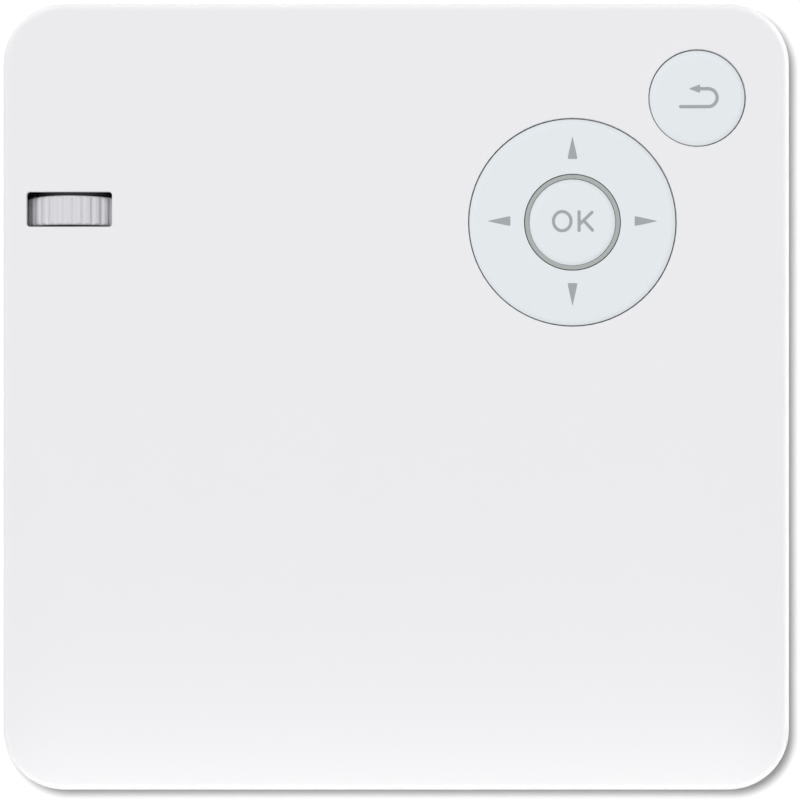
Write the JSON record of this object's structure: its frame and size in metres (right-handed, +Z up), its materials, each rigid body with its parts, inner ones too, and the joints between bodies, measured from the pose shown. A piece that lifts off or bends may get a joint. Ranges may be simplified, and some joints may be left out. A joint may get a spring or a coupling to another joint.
{
  "type": "projector with disc drive",
  "caption": "Square pocket projector with a focus wheel, four-way pad and keys on top, a lens in the front corner and a slim disc tray that slides out of the right side.",
  "frame": {"origin": "middle of the footprint, on the surface that the feet stand on", "axes": "+X to the right, the way the tray slides; +Y to the front, the way the lens faces; +Z up"},
  "size_m": [0.146, 0.146, 0.0412],
  "materials": {
    "white_shell": "satin white moulded plastic",
    "white_key": "satin white moulded plastic",
    "grey_ring": "grey moulded plastic",
    "wheel_grey": "pale grey moulded plastic",
    "black_trim": "fine matte black",
    "black_tray": "matte black moulded plastic",
    "dark_alloy": "black coated metal",
    "soft_rubber": "matte rubber",
    "bright_steel": "bright nickel-plated steel",
    "sheet_steel": "zinc-plated sheet steel",
    "hub_plastic": "dark grey plastic",
    "heat_alloy": "plain aluminium",
    "copper": "bare copper",
    "yellow_brass": "turned brass",
    "circuit_board": "green solder mask on glass-fibre board",
    "chip_black": "black moulding compound",
    "switch_metal": "tinned metal",
    "led_board": "white coated aluminium board",
    "lens_glass": "clear coated glass",
    "mirror_glass": "dichroic coated glass",
    "battery_wrap": "blue shrink film"
  },
  "bodies": {
    "base": {"top_cover": "white_shell", "bottom_cover": "white_shell", "case_screws": "bright_steel", "rubber_feet": "soft_rubber", "tripod_insert": "yellow_brass", "lens_bezel": "black_trim", "lens_barrel": "black_trim", "focus_clip": "dark_alloy", "ok_ring": "grey_ring", "key_board": "circuit_board", "key_switches": "switch_metal", "engine_housing": "dark_alloy", "engine_lid": "dark_alloy", "prism": "lens_glass", "image_chip": "chip_black", "chip_heatsink": "heat_alloy", "led_modules": "led_board", "collimator_lenses": "lens_glass", "dichroic_mirrors": "mirror_glass", "relay_lens": "lens_glass", "heat_pipe": "copper", "fin_stack": "heat_alloy", "blower_housing": "black_tray", "blower_cover": "black_tray", "chassis_plate": "sheet_steel", "main_board": "circuit_board", "board_chips": "chip_black", "hdmi_socket": "bright_steel", "usb_socket": "bright_steel", "power_socket": "chip_black", "audio_socket": "chip_black", "switch_body": "bright_steel", "battery_pack": "battery_wrap", "speaker": "black_tray", "drive_pan": "sheet_steel", "drive_lid": "sheet_steel"},
    "focus_wheel": {"focus_ring": "wheel_grey"},
    "lens_group": {"lens_cell": "black_trim", "front_lens": "lens_glass", "rear_lens": "lens_glass"},
    "pad_carrier": {"pad_carrier": "hub_plastic"},
    "direction_pad": {"direction_pad": "white_key"},
    "ok_key": {"ok_key": "white_key"},
    "return_key": {"return_key": "white_key"},
    "power_key": {"power_key": "black_trim"},
    "blower_wheel": {"blower_impeller": "black_tray"},
    "tray": {"disc_tray": "black_tray", "tray_bezel": "white_shell", "traverse_frame": "sheet_steel", "spindle_motor": "sheet_steel", "guide_rods": "bright_steel", "sled_motor": "sheet_steel", "drive_board": "circuit_board"},
    "eject_key": {"eject_key": "white_key"},
    "side_rails": {"tray_rails": "sheet_steel"},
    "turntable": {"turntable": "hub_plastic"},
    "pickup": {"pickup_sled": "black_tray"},
    "lead_screw": {"lead_screw": "bright_steel"},
    "eject_latch": {"eject_latch": "sheet_steel"}
  },
  "joints": [
    {"name": "focus_turn", "type": "hinge", "parent": "base", "child": "focus_wheel", "pos_m": [-0.0605, 0.03461, 0.0312], "axis": [0, 1, 0], "range_deg": [-60, 60]},
    {"name": "focus_travel", "type": "slide", "parent": "focus_wheel", "child": "lens_group", "axis": [0, 1, 0], "range_m": [-0.0006, 0.0006]},
    {"name": "pad_tilt_side", "type": "hinge", "parent": "base", "child": "pad_carrier", "pos_m": [0.03264, 0.03233, 0.03595], "axis": [0, 1, 0], "range_deg": [-1.2, 1.2], "stiffness_Nm_per_rad": 0.5},
    {"name": "pad_tilt_front", "type": "hinge", "parent": "pad_carrier", "child": "direction_pad", "pos_m": [0.03264, 0.03233, 0.03725], "axis": [1, 0, 0], "range_deg": [-1.2, 1.2], "stiffness_Nm_per_rad": 0.5},
    {"name": "ok_press", "type": "slide", "parent": "base", "child": "ok_key", "axis": [0, 0, -1], "range_m": [0, 0.0005], "stiffness_N_per_m": 600},
    {"name": "return_press", "type": "slide", "parent": "base", "child": "return_key", "axis": [0, 0, -1], "range_m": [0, 0.0005], "stiffness_N_per_m": 600},
    {"name": "power_slide", "type": "slide", "parent": "base", "child": "power_key", "axis": [1, 0, 0], "range_m": [0, 0.0025]},
    {"name": "blower_spin", "type": "hinge", "parent": "base", "child": "blower_wheel", "pos_m": [-0.032, -0.03729, 0.026], "axis": [0, 0, 1], "continuous": true},
    {"name": "tray_slide", "type": "slide", "parent": "base", "child": "tray", "axis": [1, 0, 0], "range_m": [0, 0.126]},
    {"name": "rail_slide", "type": "slide", "parent": "base", "child": "side_rails", "axis": [1, 0, 0], "range_m": [0, 0.063]},
    {"name": "eject_press", "type": "slide", "parent": "tray", "child": "eject_key", "axis": [-1, 0, 0], "range_m": [0, 0.0005], "stiffness_N_per_m": 300},
    {"name": "disc_spin", "type": "hinge", "parent": "tray", "child": "turntable", "pos_m": [0.009, 0, 0.013], "axis": [0, 0, 1], "continuous": true},
    {"name": "pickup_slide", "type": "slide", "parent": "tray", "child": "pickup", "axis": [0.7071, -0.7071, 0], "range_m": [0, 0.034]},
    {"name": "screw_turn", "type": "hinge", "parent": "tray", "child": "lead_screw", "pos_m": [0.02017, -0.03125, 0.0105], "axis": [0.7071, -0.7071, 0], "range_deg": [0, 4090]},
    {"name": "latch_turn", "type": "hinge", "parent": "tray", "child": "eject_latch", "pos_m": [-0.0385, -0.037, 0.0102], "axis": [0, 0, 1], "range_deg": [0, 8], "stiffness_Nm_per_rad": 0.002}
  ],
  "couplings": [
    {"joint": "focus_travel", "follows": "focus_turn", "m_per_rad": 0.00057},
    {"joint": "rail_slide", "follows": "tray_slide", "ratio": 0.5},
    {"joint": "screw_turn", "follows": "pickup_slide", "rad_per_m": 2094.4}
  ]
}
